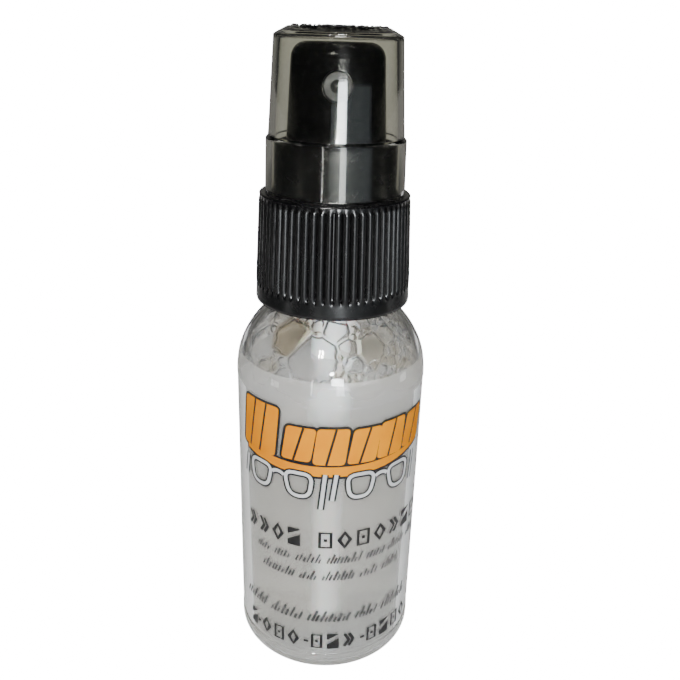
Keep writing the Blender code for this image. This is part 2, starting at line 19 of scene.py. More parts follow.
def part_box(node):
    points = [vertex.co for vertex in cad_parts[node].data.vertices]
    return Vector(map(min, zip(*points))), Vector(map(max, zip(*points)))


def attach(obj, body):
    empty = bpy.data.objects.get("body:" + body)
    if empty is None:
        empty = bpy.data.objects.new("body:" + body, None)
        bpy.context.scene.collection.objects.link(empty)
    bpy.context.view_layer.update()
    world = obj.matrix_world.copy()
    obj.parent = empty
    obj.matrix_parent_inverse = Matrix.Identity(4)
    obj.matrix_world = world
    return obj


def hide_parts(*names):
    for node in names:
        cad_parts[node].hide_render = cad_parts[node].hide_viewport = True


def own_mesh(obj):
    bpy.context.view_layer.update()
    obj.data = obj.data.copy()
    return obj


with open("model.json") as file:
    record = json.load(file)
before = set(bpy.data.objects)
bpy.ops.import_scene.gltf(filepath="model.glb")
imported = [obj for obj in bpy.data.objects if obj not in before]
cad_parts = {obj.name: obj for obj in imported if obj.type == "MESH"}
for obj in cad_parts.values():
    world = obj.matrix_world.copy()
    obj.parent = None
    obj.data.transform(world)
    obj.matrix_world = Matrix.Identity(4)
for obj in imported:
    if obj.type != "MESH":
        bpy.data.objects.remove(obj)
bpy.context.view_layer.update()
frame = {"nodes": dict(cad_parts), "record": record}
MM = 0.001


def extent(node):
    """A CAD node's lowest height, highest height and radius, in millimetres."""
    low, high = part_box(node)
    return low.z / MM, high.z / MM, high.x / MM


# From the frame
_, NECK_TOP, BODY_RADIUS = extent("bottle")
LABEL_BOTTOM, LABEL_TOP, LABEL_RADIUS = extent("label_film")
COLLAR_BOTTOM, SLEEVE_TOP, COLLAR_RADIUS = extent("collar")
CAP_BOTTOM, CAP_TOP, CAP_RADIUS = extent("overcap")
BUTTON_BOTTOM, BUTTON_TOP, BUTTON_RADIUS = extent("actuator")
SOCKET_BOTTOM, FLANGE_TOP, _ = extent("pump_housing")
TUBE_BOTTOM, TUBE_TOP, TUBE_RADIUS = extent("dip_tube")

# Bottle
WALL = 0.8
PANEL_RADIUS = BODY_RADIUS - 0.25
INNER_RADIUS = PANEL_RADIUS - WALL
SHOULDER_CENTRE = (BODY_RADIUS - 13.66, 49.8)
SHOULDER_RADIUS = 13.66
INNER_SHOULDER = INNER_RADIUS - SHOULDER_CENTRE[0]
NECK_RADIUS = 8.75
NECK_BORE = 7.2
THREAD_PITCH = 3.175
THREAD_TURNS = 1.5
THREAD_START = 73.4
THREAD_DEPTH = 1.1

# Label: thickness in mm, and degrees from the front to each end
LABEL_THICKNESS = 0.13
LABEL_HALF_WRAP = 150

# Collar and sleeve
LEDGE = CAP_BOTTOM - 0.2
LEDGE_RADIUS = 11.19
RIBS = 60
RIB_DEPTH = 0.42
RIB_STEP = 0.10
RIB_BOTTOM = 64.0
RIB_TOP = 77.3
COLLAR_BORE = 10.3
SLEEVE_RADIUS = 9.0

# Overcap
CAP_STEP = 85.8
CAP_WALL = 0.95
CAP_UPPER_RADII = (9.80, 9.00)
CAP_RIM = CAP_TOP - 1.22
CAP_FLAT_RADIUS = 7.0
PIP_HEIGHT = 0.24

# Button
BUTTON_TOP_RADIUS = 6.59
NOZZLE_HEIGHT = 93.0
NOZZLE_BORE = 2.05

# Pump
FLANGE_RADIUS, FLANGE_THICKNESS = 8.0, 0.8
CUP_RADIUS, CUP_FLOOR = 5.2, 68.0
PUMP_RADIUS, PUMP_BORE = 3.3, 2.7
SPRING_SHELF = 51.0
TUBE_WALL = 0.7
TUBE_SLANT = 0.6

# Contents
LIQUID_TOP = 52.4
MENISCUS = 0.7
FOAM_TOP = 61.2

# Camera, as fitted to the photograph: place in mm, angles in radians, lens and sensor in mm
CAMERA_PLACE = (0, -110.14, 99.38)
CAMERA_PITCH, CAMERA_YAW, CAMERA_ROLL = 0.38874, 0.01264, 0.02962
CAMERA_LENS, CAMERA_SENSOR = 39.46, 36

# Stage: what the camera sees, what shows through clear pieces, and what reflections get
WHITE = (1.0, 1.0, 1.0)
DAYLIGHT = (0.93, 0.97, 1.0)
FLOOR_HEIGHT = -0.02
STAGE_WHITE = 17.0
THROUGH_FLOOR = (0.45, 0.44, 0.42)
THROUGH_SKY = (0.48, 0.47, 0.43)
MIRRORED_SHARE = 0.4
ROOM_LIGHT = 0.02


# ==== Materials


def new_material(name, **inputs):
    """A Principled material with fixed inputs, given by their names with _ for a space."""
    material = bpy.data.materials.new(name)
    material.use_nodes = True
    shader = material.node_tree.nodes["Principled BSDF"]
    for key, value in inputs.items():
        socket = shader.inputs[key.replace("_", " ")]
        socket.default_value = (*value, 1.0) if isinstance(value, tuple) and len(value) == 3 else value
    return material


def shader_of(material):
    return material.node_tree.nodes["Principled BSDF"]


def noise(material, size, detail=2.0, stretch=(1, 1, 1)):
    """Noise fixed to the piece, with features about this many millimetres wide."""
    tree = material.node_tree
    place = tree.nodes.new("ShaderNodeTexCoord")
    mapping = tree.nodes.new("ShaderNodeMapping")
    mapping.inputs["Scale"].default_value = [s / (size * MM) for s in stretch]
    tree.links.new(place.outputs["Object"], mapping.inputs["Vector"])
    texture = tree.nodes.new("ShaderNodeTexNoise")
    texture.inputs["Scale"].default_value = 1.0
    texture.inputs["Detail"].default_value = detail
    tree.links.new(mapping.outputs["Vector"], texture.inputs["Vector"])
    return texture.outputs["Fac"]


def map_range(tree, value, low, high, start, end):
    """Maps a value from start-end to low-high."""
    node = tree.nodes.new("ShaderNodeMapRange")
    for name, number in (("From Min", start), ("From Max", end), ("To Min", low), ("To Max", high)):
        node.inputs[name].default_value = number
    tree.links.new(value, node.inputs["Value"])
    return node.outputs["Result"]


def spread(material, value, low, high, start=0.35, end=0.65):
    return map_range(material.node_tree, value, low, high, start, end)


def coordinate(tree, kind, axis):
    """One axis of a texture coordinate."""
    place = tree.nodes.new("ShaderNodeTexCoord")
    parts = tree.nodes.new("ShaderNodeSeparateXYZ")
    tree.links.new(place.outputs[kind], parts.inputs["Vector"])
    return parts.outputs[axis]


def mix_shaders(tree, share, first, second):
    """Goes from one shader to another as share goes from 0 to 1."""
    mix = tree.nodes.new("ShaderNodeMixShader")
    for socket, value in zip(mix.inputs, (share, first, second)):
        tree.links.new(value, socket)
    return mix.outputs["Shader"]


def two_colours(material, value, first, second, start=0.35, end=0.65):
    """A ramp between two colours, driven by a value."""
    tree = material.node_tree
    ramp = tree.nodes.new("ShaderNodeValToRGB")
    ramp.color_ramp.elements[0].position = start
    ramp.color_ramp.elements[0].color = (*first, 1.0)
    ramp.color_ramp.elements[1].position = end
    ramp.color_ramp.elements[1].color = (*second, 1.0)
    tree.links.new(value, ramp.inputs["Fac"])
    return ramp.outputs["Color"]


def drive(material, name, value):
    """Feeds a shader input from a node."""
    material.node_tree.links.new(value, shader_of(material).inputs[name])


def mottle(material, size, first, second, detail=2.0, start=0.35, end=0.65):
    """A base colour that drifts between two colours, in patches about this many millimetres wide."""
    patches = noise(material, size, detail)
    drive(material, "Base Color", two_colours(material, patches, first, second, start, end))


def uneven_gloss(material, low, high, size, detail=2.0, stretch=(1, 1, 1)):
    """A roughness that drifts between two values."""
    drive(material, "Roughness", spread(material, noise(material, size, detail, stretch), low, high))


def bump(material, value, depth):
    """Relief from a value, this many millimetres deep; a second call adds to the first."""
    tree = material.node_tree
    node = tree.nodes.new("ShaderNodeBump")
    node.inputs["Distance"].default_value = depth * MM
    tree.links.new(value, node.inputs["Height"])
    normal = shader_of(material).inputs["Normal"]
    if normal.is_linked:
        tree.links.new(normal.links[0].from_socket, node.inputs["Normal"])
    tree.links.new(node.outputs["Normal"], normal)


def moulded_black(name, colour, dust, roughness, specular):
    """Black moulded plastic: uneven gloss, a fine skin, and pale dust in fine specks."""
    material = new_material(name, IOR=1.5, Specular_IOR_Level=specular)
    mottle(material, 0.5, colour, dust, 6, 0.60, 0.85)
    uneven_gloss(material, *roughness, 1.6, 4)
    bump(material, noise(material, 0.35, 3), 0.004)
    bump(material, noise(material, 4.0, 1), 0.03)
    return material


def clear_plastic(name, tint, ior, ripple, roughness=0.03):
    """Clear plastic with the slight unevenness of a moulded wall."""
    material = new_material(name, IOR=ior, Transmission_Weight=1.0)
    mottle(material, 6.0, tint, [c * 0.97 for c in tint])
    uneven_gloss(material, roughness, roughness * 2, 2.5, 3)
    bump(material, noise(material, 5.0, 1), ripple)
    return material


def natural_plastic(name, colour, size=0.8):
    """Milky uncoloured plastic."""
    material = new_material(name, IOR=1.5, Subsurface_Weight=0.25, Subsurface_Scale=0.8 * MM)
    shade = [c * 0.9 for c in colour]
    mottle(material, size * 2, shade, colour)
    uneven_gloss(material, 0.32, 0.48, size, 3)
    bump(material, noise(material, size, 3), 0.006)
    return material


def mix_colours(material, share, first, second):
    """Goes from one colour to another as share goes from 0 to 1."""
    tree = material.node_tree
    mix = tree.nodes.new("ShaderNodeMix")
    mix.data_type = "RGBA"
    for name, value in (("Factor_Float", share), ("A_Color", first), ("B_Color", second)):
        tree.links.new(value, next(i for i in mix.inputs if i.identifier == name))
    return next(o for o in mix.outputs if o.identifier == "Result_Color")


def see_through(material, colour):
    through = material.node_tree.nodes.new("ShaderNodeBsdfTransparent")
    through.inputs["Color"].default_value = (*colour, 1.0)
    return through.outputs["BSDF"]


def hazy_liquid(name):
    """Cleaning liquid, a little hazy. Its colour is painted whiter near its top: painted light, standing in
    for the light that falls in from above.

    Lamps shine through it, so that the floor gets only a pale shadow.
    """
    material = new_material(name, IOR=1.33, Transmission_Weight=0.72)
    deep = noise(material, 22.0, 1)
    deep = two_colours(material, deep, (0.66, 0.635, 0.595), (0.60, 0.595, 0.58), 0.4, 0.6)
    # Painted light: a whiter colour over the liquid's top few millimetres, standing in for light from above
    painted_lit_top = noise(material, 14.0, 2)
    painted_lit_top = two_colours(material, painted_lit_top, (0.88, 0.845, 0.80), (0.78, 0.77, 0.76), 0.4, 0.6)
    tree = material.node_tree
    height = coordinate(tree, "Object", "Z")
    share = map_range(tree, height, 0.0, 1.0, (LIQUID_TOP - 9.4) * MM, (LIQUID_TOP - 1.4) * MM)
    drive(material, "Base Color", mix_colours(material, share, deep, painted_lit_top))
    uneven_gloss(material, 0.18, 0.26, 9.0, 1)
    path = tree.nodes.new("ShaderNodeLightPath")
    lamplight = see_through(material, (0.80, 0.82, 0.83))
    liquid = shader_of(material).outputs["BSDF"]
    surface = mix_shaders(tree, path.outputs["Is Shadow Ray"], liquid, lamplight)
    tree.links.new(surface, tree.nodes["Material Output"].inputs["Surface"])
    return material


def foam_material(name):
    """Wet foam: glassy water walls whose cells carry painted tints, standing in for what shows through them.
    """
    material = new_material(name, IOR=1.33, Transmission_Weight=0.965)
    tree = material.node_tree
    tint = tree.nodes.new("ShaderNodeVertexColor")
    tint.layer_name = "tint"
    drive(material, "Base Color", tint.outputs["Color"])
    uneven_gloss(material, 0.02, 0.08, 1.5)
    return material


def thin_film(name, tint):
    """The label's clear film: almost invisible, with a gloss that grows at the edges."""
    material = new_material(name, Base_Color=(0.9, 0.9, 0.9))
    uneven_gloss(material, 0.10, 0.20, 3.0, 3)
    bump(material, noise(material, 1.2, 3), 0.002)
    tree = material.node_tree
    edge = tree.nodes.new("ShaderNodeLayerWeight")
    edge.inputs["Blend"].default_value = 0.06
    gloss = shader_of(material).outputs["BSDF"]
    surface = mix_shaders(tree, edge.outputs["Fresnel"], see_through(material, tint), gloss)
    tree.links.new(surface, tree.nodes["Material Output"].inputs["Surface"])
    return material


def ink(name, first, second, size=5.0, roughness=0.35, specular=0.3):
    """Printing ink: not quite even, with a fine grain."""
    material = new_material(name, Specular_IOR_Level=specular)
    mottle(material, size, first, second, 3)
    uneven_gloss(material, roughness, roughness + 0.15, 0.6, 2)
    bump(material, noise(material, 0.25, 2), 0.002)
    return material


def steel(name):
    material = new_material(name, Metallic=1.0)
    mottle(material, 0.5, (0.52, 0.52, 0.53), (0.7, 0.7, 0.7))
    uneven_gloss(material, 0.18, 0.34, 0.4, 3, (1, 1, 6))
    bump(material, noise(material, 0.3, 2, (1, 1, 8)), 0.004)
    return material


# ==== Mesh building


def arc(centre, radius, start, end, steps):
    """Points of an arc, from one angle to another in degrees."""
    points = []
    for i in range(steps + 1):
        angle = math.radians(start + (end - start) * i / steps)
        points.append((centre[0] + radius * math.cos(angle), centre[1] + radius * math.sin(angle)))
    return points


def line(start, end, steps):
    """Points on a straight line, without its last one."""
    return [
        (start[0] + (end[0] - start[0]) * i / steps, start[1] + (end[1] - start[1]) * i / steps)
        for i in range(steps)
    ]


def held_edges(outline):
    """Adds a point close to each end of longer straight stretches, so that smooth shading keeps them flat."""
    points = []
    for start, end in zip(outline, outline[1:] + outline[:1]):
        points.append(start)
        length = math.dist(start, end)
        if length > 0.5 and (start[0] > 0 or end[0] > 0):
            hold = min(0.05 / length, 0.2)
            for share in (hold, 1 - hold):
                point = tuple(a + (b - a) * share for a, b in zip(start, end))
                points.append(point)
    return points if outline[0][0] > 0 else points[: points.index(outline[-1]) + 1]


def turned(outline, sides, shape=None):
    """Turns (radius, height) points about Z into a closed skin; returns points in mm and faces.

    shape, if given, takes the arrays of radius, height and angle, and returns new radius and height.
    """
    outline = held_edges(outline)
    radius, height, angle, rings = [], [], [], []
    for r, z in outline:
        count = sides if r > 0 else 1
        rings.append((len(radius), count))
        radius += [r] * count
        height += [z] * count
        angle += [math.tau * i / sides for i in range(count)]
    radius, height, angle = (np.array(v, float) for v in (radius, height, angle))
    if shape:
        radius, height = shape(radius, height, angle)
    points = np.column_stack((radius * np.cos(angle), radius * np.sin(angle), height))
    pairs = list(zip(rings, rings[1:]))
    if outline[0][0] > 0:
        pairs.append((rings[-1], rings[0]))
    faces = []
    for (low, low_count), (high, high_count) in pairs:
        for i in range(sides):
            j = (i + 1) % sides
            corners = (low + i % low_count, low + j % low_count, high + j % high_count, high + i % high_count)
            faces.append(tuple(dict.fromkeys(corners)))
    return points, [f for f in faces if len(f) > 2]


def add_piece(name, points, faces, material, body, replaces=(), sharp=35):
    """Makes a piece from points in mm and faces, and lets it ride on its CAD body."""
    mesh = bpy.data.meshes.new(name)
    mesh.from_pydata((np.asarray(points) * MM).tolist(), [], faces)
    bm = bmesh.new()
    bm.from_mesh(mesh)
    bmesh.ops.recalc_face_normals(bm, faces=bm.faces)
    bm.to_mesh(mesh)
    bm.free()
    return finish_piece(bpy.data.objects.new(name, mesh), material, body, replaces, sharp)


def finish_piece(piece, material, body, replaces=(), sharp=35):
    bpy.context.scene.collection.objects.link(piece)
    piece.data.materials.append(material)
    piece.data.shade_smooth()
    piece.data.set_sharp_from_angle(angle=math.radians(sharp))
    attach(piece, body)
    if replaces:
        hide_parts(*replaces)
    return piece


def rod(radius, start, end, height, sides=64):
    """A cutter: a cylinder along Y between two places, at a height."""
    bm = bmesh.new()
    middle = Matrix.Translation((0, (start + end) / 2 * MM, height * MM))
    bmesh.ops.create_cone(
        bm, cap_ends=True, segments=sides, radius1=radius * MM, radius2=radius * MM,
        depth=abs(end - start) * MM, matrix=middle @ Matrix.Rotation(math.pi / 2, 4, "X"),
    )
    mesh = bpy.data.meshes.new("cutter")
    bm.to_mesh(mesh)
    bm.free()
    cutter = bpy.data.objects.new("cutter", mesh)
    bpy.context.scene.collection.objects.link(cutter)
    return cutter


def carve(piece, cutter, operation):
    """Cuts or joins with a Boolean, applies it, and drops the cutter."""
    modifier = piece.modifiers.new("carve", "BOOLEAN")
    modifier.operation = operation
    modifier.solver = "EXACT"
    modifier.object = cutter
    bpy.context.view_layer.update()
    depsgraph = bpy.context.evaluated_depsgraph_get()
    mesh = bpy.data.meshes.new_from_object(piece.evaluated_get(depsgraph))
    piece.modifiers.clear()
    piece.data = mesh
    bpy.data.objects.remove(cutter)


# ==== Camera, stage and light


def make_camera():
    """The photograph's view: close, level with the overcap's top, tipped down and slightly rolled."""
    place = Vector(CAMERA_PLACE) * MM
    pitch, yaw, roll = CAMERA_PITCH, CAMERA_YAW, CAMERA_ROLL
    forward = Vector((
        math.sin(yaw) * math.cos(pitch), math.cos(yaw) * math.cos(pitch), -math.sin(pitch)
    ))
    right = Vector((math.cos(yaw), -math.sin(yaw), 0))
    up = right.cross(forward)
    across = right * math.cos(roll) + up * math.sin(roll)
    upright = up * math.cos(roll) - right * math.sin(roll)
    camera = bpy.data.objects.new("camera", bpy.data.cameras.new("camera"))
    bpy.context.scene.collection.objects.link(camera)
    turn = Matrix((across, upright, -forward)).transposed().to_4x4()
    camera.matrix_world = Matrix.Translation(place) @ turn
    camera.data.sensor_width = CAMERA_SENSOR
    camera.data.lens = CAMERA_LENS
    camera.data.clip_start = 0.005
    bpy.context.scene.camera = camera


def studio_shader(tree, seen, through, real, behind, output):
    """What the stage sends back: white to the camera, and a soft grey to sight lines that only pass through
    clear pieces. Reflections get some of that grey from behind the object, and the dim room elsewhere."""

    def math_node(operation, first, second):
        node = tree.nodes.new("ShaderNodeMath")
        node.operation = operation
        for socket, value in zip(node.inputs, (first, second)):
            if isinstance(value, float):
                socket.default_value = value
            else:
                tree.links.new(value, socket)
        return node.outputs["Value"]

    path = tree.nodes.new("ShaderNodeLightPath").outputs
    bounces = math_node("ADD", path["Glossy Depth"], path["Diffuse Depth"])
    clear = math_node("MULTIPLY", math_node("LESS_THAN", bounces, 0.5), path["Is Transmission Ray"])
    mirrored = math_node("MULTIPLY", behind, path["Is Glossy Ray"])
    mirrored = math_node("MULTIPLY", mirrored, math_node("LESS_THAN", path["Diffuse Depth"], 0.5))
    mirrored = math_node("MULTIPLY", mirrored, MIRRORED_SHARE)
    shade = mix_shaders(tree, math_node("MAXIMUM", clear, mirrored), real, through)
    tree.links.new(mix_shaders(tree, path["Is Camera Ray"], shade, seen), output)


def glow(tree, kind, colour, strength):
    node = tree.nodes.new(kind)
    node.inputs["Color"].default_value = (*colour, 1.0)
    node.inputs["Strength"].default_value = strength
    return node.outputs[0]


def make_stage():
    """A plain pale floor that runs to the horizon, and a pale backdrop that meets it."""
    points, faces = turned([(0, FLOOR_HEIGHT), (400, FLOOR_HEIGHT), (4000, FLOOR_HEIGHT)], 96)
    mesh = bpy.data.meshes.new("floor")
    mesh.from_pydata((points * MM).tolist(), [], faces)
    floor = bpy.data.objects.new("floor", mesh)
    bpy.context.scene.collection.objects.link(floor)
    material = new_material("floor", Roughness=0.9, Specular_IOR_Level=0.1)
    mottle(material, 60, (0.80, 0.80, 0.79), (0.83, 0.83, 0.82))
    material.cycles.emission_sampling = "NONE"
    floor.data.materials.append(material)
    tree = material.node_tree
    studio_shader(
        tree,
        glow(tree, "ShaderNodeEmission", WHITE, STAGE_WHITE),
        glow(tree, "ShaderNodeEmission", THROUGH_FLOOR, 1.0),
        shader_of(material).outputs["BSDF"],
        map_range(tree, coordinate(tree, "Object", "Y"), 0.0, 1.0, 250 * MM, 450 * MM),
        tree.nodes["Material Output"].inputs["Surface"],
    )
    world = bpy.data.worlds.new("studio")
    bpy.context.scene.world = world
    world.use_nodes = True
    tree = world.node_tree
    studio_shader(
        tree,
        glow(tree, "ShaderNodeBackground", WHITE, STAGE_WHITE),
        glow(tree, "ShaderNodeBackground", THROUGH_SKY, 1.0),
        glow(tree, "ShaderNodeBackground", DAYLIGHT, ROOM_LIGHT),
        map_range(tree, coordinate(tree, "Generated", "Y"), 0.0, 1.0, 0.72, 0.92),
        tree.nodes["World Output"].inputs["Surface"],
    )


def area_light(name, place, target, size, radiance, colour=WHITE, spread=180):
    """A soft panel, in millimetres, that faces a target and stays out of sight of the camera."""
    light = bpy.data.lights.new(name, "AREA")
    light.shape = "RECTANGLE"
    light.size = size[0] * MM
    light.size_y = size[1] * MM
    light.energy = radiance * math.pi * light.size * light.size_y
    light.color = colour
    light.spread = math.radians(spread)
    lamp = bpy.data.objects.new(name, light)
    bpy.context.scene.collection.objects.link(lamp)
    away = Vector(place) - Vector(target)
    turn = away.to_track_quat("Z", "Y").to_matrix().to_4x4()
    lamp.matrix_world = Matrix.Translation(Vector(place) * MM) @ turn
    lamp.visible_camera = False
    return lamp


def make_lights():
    """Lamps where the photograph's highlights need them, and two low ones for views from behind."""
    for x in (-128, -92):
        area_light("key_strip", (x, -430, 440), (0, 5, 40), (16, 100), 13.0, (1.0, 0.985, 0.96), 40)
    area_light("ceiling", (10, 60, 520), (0, 0, 40), (70, 70), 8.0, WHITE, 60)
    area_light("window", (50, -330, 93), (0, 0, 88), (84, 44), 50.0, DAYLIGHT)
    area_light("window_low", (48, -232, 40), (0, 0, 80), (40, 60), 9.0, (0.93, 0.98, 1.0))
    area_light("window_glow", (110, -240, 54), (0, 0, 80), (360, 108), 0.5, (0.80, 0.91, 1.0))
    area_light("slit", (-90, -240, 40), (0, 0, 80), (6, 70), 12.0)
    area_light("left_low", (-227, -106, 16), (0, 0, 60), (48, 28), 2.6)
    area_light("right_low", (250, 9, 16), (0, 0, 60), (44, 28), 2.4)
    for x in (-150, 170):
        lamp = area_light("back_low", (x, 210, 16), (0, 0, 60), (60, 28), 2.2)
        lamp.visible_transmission = False
    area_light("flash", (3, -110, 84), (0, -10, 60), (9, 7), 190.0)


# ==== Bottle and contents


def shoulder_outline():
    neck_angle = math.degrees(math.acos((NECK_RADIUS - SHOULDER_CENTRE[0]) / SHOULDER_RADIUS))
    return arc(SHOULDER_CENTRE, SHOULDER_RADIUS, 0, neck_angle, 36)


def thread(height, angle, top):
    """How far a thread that starts at this height stands out at each point; its ends fade away."""
    turns = (top - height) / THREAD_PITCH
    start = (-angle / math.tau) % 1.0
    nearest = start + np.round(turns - start)
    fade = np.clip(np.minimum(nearest, THREAD_TURNS - nearest) * 8, 0, 1)
    off = np.abs(turns - nearest) * THREAD_PITCH
    return THREAD_DEPTH * np.clip((0.75 - off) / 0.4, 0, 1) * fade


def bottle_details(radius, height, angle):
    """Adds the neck's thread and the two faint mould seams on the shoulder."""
    outside = (radius > NECK_RADIUS - 0.01) & (height > 66)
    radius = np.where(outside, radius + thread(height, angle, THREAD_START), radius)
    on_shoulder = (height > 51) & (height < 66) & (radius > NECK_RADIUS - 0.2)
    from_seam = np.abs(np.sin(angle)) * radius
    seam = 0.05 * np.exp(-((from_seam / 0.16) ** 2)) * on_shoulder
    inner = np.hypot(radius - SHOULDER_CENTRE[0], height - SHOULDER_CENTRE[1]) < SHOULDER_RADIUS - 0.3
    return np.where(inner, radius, radius + seam), height


def make_bottle():
    """The blown bottle with its rounded heel, pushed-up base, domed shoulder and threaded neck."""
    heel = 2.1
    outline = [(0, 1.05), (0.35, 1.02), (0.8, 1.22), (4.0, 1.15), (8.0, 0.95), (10.4, 0.7)]
    outline += arc((11.6, 0.55), 0.55, 200, 270, 6)
    outline += arc((BODY_RADIUS - heel, heel), heel, -90, 0, 16)
    outline += [
        (BODY_RADIUS, LABEL_BOTTOM - 0.5), (BODY_RADIUS - 0.06, LABEL_BOTTOM - 0.36),
        (PANEL_RADIUS + 0.04, LABEL_BOTTOM - 0.27), (PANEL_RADIUS, LABEL_BOTTOM - 0.2),
        (PANEL_RADIUS, LABEL_TOP + 0.2), (PANEL_RADIUS + 0.04, LABEL_TOP + 0.27),
        (BODY_RADIUS - 0.06, LABEL_TOP + 0.38), (BODY_RADIUS, LABEL_TOP + 0.5),
    ]
    outline += shoulder_outline()
    outline += line((NECK_RADIUS, 66.0), (NECK_RADIUS, NECK_TOP - 0.35), 46)
    outline += arc((NECK_RADIUS - 0.35, NECK_TOP - 0.35), 0.35, 0, 90, 5)
    outline += arc((NECK_BORE + 0.25, NECK_TOP - 0.25), 0.25, 90, 180, 4)
    bore_angle = math.degrees(math.acos((NECK_BORE - SHOULDER_CENTRE[0]) / INNER_SHOULDER))
    outline += arc(SHOULDER_CENTRE, INNER_SHOULDER, bore_angle, 0, 36)
    outline += arc((INNER_RADIUS - 1.6, 2.7), 1.6, 0, -90, 10)
    outline += [(10.6, 1.2), (9.8, 1.75), (6.0, 2.05), (2.0, 2.15), (0, 2.15)]
    points, faces = turned(outline, 192, bottle_details)
    material = clear_plastic("clear_pet", (0.95, 0.955, 0.95), 1.57, 0.05)
    bottle = add_piece("bottle_clear", points, faces, material, "bottle_body", ("bottle",))
    bottle.visible_shadow = False


def make_liquid():
    """The liquid reaches a hair into the wall, so that no air shows between them; it climbs at the wall."""
    reach = 0.04
    wall = INNER_RADIUS + reach
    outline = [(0, 2.1), (6.0, 2.0), (9.8, 1.7), (10.6, 1.15)]
    outline += arc((INNER_RADIUS - 1.6, 2.7), 1.6 + reach, -90, 0, 10)
    outline += [(wall, 20.0), (wall, 40.0)]
    top = LIQUID_TOP + MENISCUS
    lean = math.degrees(math.asin((top - SHOULDER_CENTRE[1]) / (INNER_SHOULDER + reach)))
    outline += arc(SHOULDER_CENTRE, INNER_SHOULDER + reach, 0, lean, 6)
    edge = outline[-1][0]
    outline += [(edge - 2.4 * t, LIQUID_TOP + MENISCUS * (1 - t) ** 3) for t in (0.1, 0.25, 0.45, 0.7, 1.0)]
    outline += [(8.0, LIQUID_TOP), (4.0, LIQUID_TOP), (0, LIQUID_TOP)]
    points, faces = turned(outline, 160)
    add_piece("liquid", points, faces, hazy_liquid("liquid"), "bottle_body", sharp=60)


# The front's larger foam cells: angle from the front in degrees, height, and size
LARGE_CELLS = (
    (-34, 58.3, 3.0), (-12, 55.9, 3.9), (-60, 55.6, 3.2), (-30, 53.2, 1.2), (-50, 53.6, 1.6),
    (-12, 60.0, 1.0), (4, 59.6, 2.0), (13, 57.6, 1.5), (8, 60.8, 1.2), (17, 55.4, 1.3),
    (31, 57.2, 2.4), (50, 58.3, 1.6), (30, 60.6, 1.8), (70, 55.6, 1.2), (-80, 58.0, 3.0),
    (-8, 61.3, 1.3), (-55, 60.0, 2.0), (48, 60.6, 1.4),
)
# Painted tints for the foam cells: colour that stands in for the view through them, not the foam's own colour
PAINTED_VIEW_TINTS = ((0.95, 0.935, 0.90), (0.89, 0.865, 0.81), (0.81, 0.77, 0.68), (0.93, 0.935, 0.935))
PAINTED_WINDOW_VIEW = (0.60, 0.53, 0.41)
FOAM_SEED = 11


def shoulder_point(angle, height, depth=0.0):
    """A point on the shoulder's inner face, or this deep inside it; angles are from the front."""
    rise = np.arcsin(np.clip((height - SHOULDER_CENTRE[1]) / INNER_SHOULDER, -1, 1))
    r = SHOULDER_CENTRE[0] + (INNER_SHOULDER - depth) * np.cos(rise)
    z = SHOULDER_CENTRE[1] + (INNER_SHOULDER - depth) * np.sin(rise)
    return np.stack((r * np.sin(angle), -r * np.cos(angle), z), -1)


def foam_cells():
    """Centres and sizes of the foam's cells: the large ones listed, small ones between them."""
    rng = random.Random(FOAM_SEED)
    cells = [(math.radians(a), z, size) for a, z, size in LARGE_CELLS]
    placed = [shoulder_point(np.array(a), np.array(z)) for a, z, _ in cells]
    sizes = [size for _, _, size in cells]
    for _ in range(2600):
        angle = rng.uniform(-math.pi, math.pi)
        height = 52.4 + 9.0 * rng.random() ** 1.3
        right = 0.5 + 0.5 * math.sin(angle)
        size = rng.uniform(0.45, 0.8 + 1.5 * (1 - right) * rng.random())
        point = shoulder_point(np.array(angle), np.array(height))
        if all(np.linalg.norm(point - p) > 0.82 * (size + s) for p, s in zip(placed, sizes)):
            placed.append(point)
            sizes.append(size)
    return np.array(placed), np.array(sizes)


def make_foam():
    """Foam against the shoulder's wall: a water skin that thickens to ridges between its cells."""
    columns, rows = 600, 56
    low, high = LIQUID_TOP + 0.15, FOAM_TOP
    centres, sizes = foam_cells()
    angle, height = np.meshgrid(
        np.linspace(-math.pi, math.pi, columns, endpoint=False), np.linspace(low, high, rows)
    )
    surface = shoulder_point(angle, height)
    away = np.linalg.norm(surface[:, :, None, :] - centres, axis=-1) - sizes
    order = np.argpartition(away, 1, axis=-1)
    nearest = order[..., 0]
    first = np.take_along_axis(away, order[..., :1], -1)[..., 0]
    second = np.take_along_axis(away, order[..., 1:2], -1)[..., 0]
    swap = second < first
    nearest = np.where(swap, order[..., 1], nearest)
    gap = np.abs(second - first)
    thick = 0.06 + 0.5 * np.exp(-((gap / 0.62) ** 2)) + 0.2 * np.exp(-gap / 1.4)
    outer = shoulder_point(angle, height, 0.05)
    inner = shoulder_point(angle, height, 0.05 + thick)
    points = np.concatenate((outer.reshape(-1, 3), inner.reshape(-1, 3)))
    faces = []

    def join(a, b):
        """Joins two rings of points, which start at these indices."""
        for i in range(columns):
            j = (i + 1) % columns
            faces.append((a + i, a + j, b + j, b + i))

    for side in (0, rows):
        for row in range(side, side + rows - 1):
            join(row * columns, (row + 1) * columns)
    for row in (0, rows - 1):
        join(row * columns, (rows + row) * columns)
    foam = add_piece("foam", points, faces, foam_material("foam"), "bottle_body", sharp=180)
    foam.visible_shadow = False
    rng = random.Random(FOAM_SEED)
    # Each cell gets a painted view tint, and the front's big cell gets the brown painted view
    view_tints = [PAINTED_WINDOW_VIEW] + [rng.choice(PAINTED_VIEW_TINTS) for _ in range(len(sizes) - 1)]
    layer = foam.data.color_attributes.new("tint", "FLOAT_COLOR", "POINT")
    shade = np.array(view_tints)[nearest.reshape(-1)]
    shade = np.concatenate((shade, shade))
    layer.data.foreach_set("color", np.column_stack((shade, np.ones(len(shade)))).astype(np.float32).ravel())


# ==== Label and its print


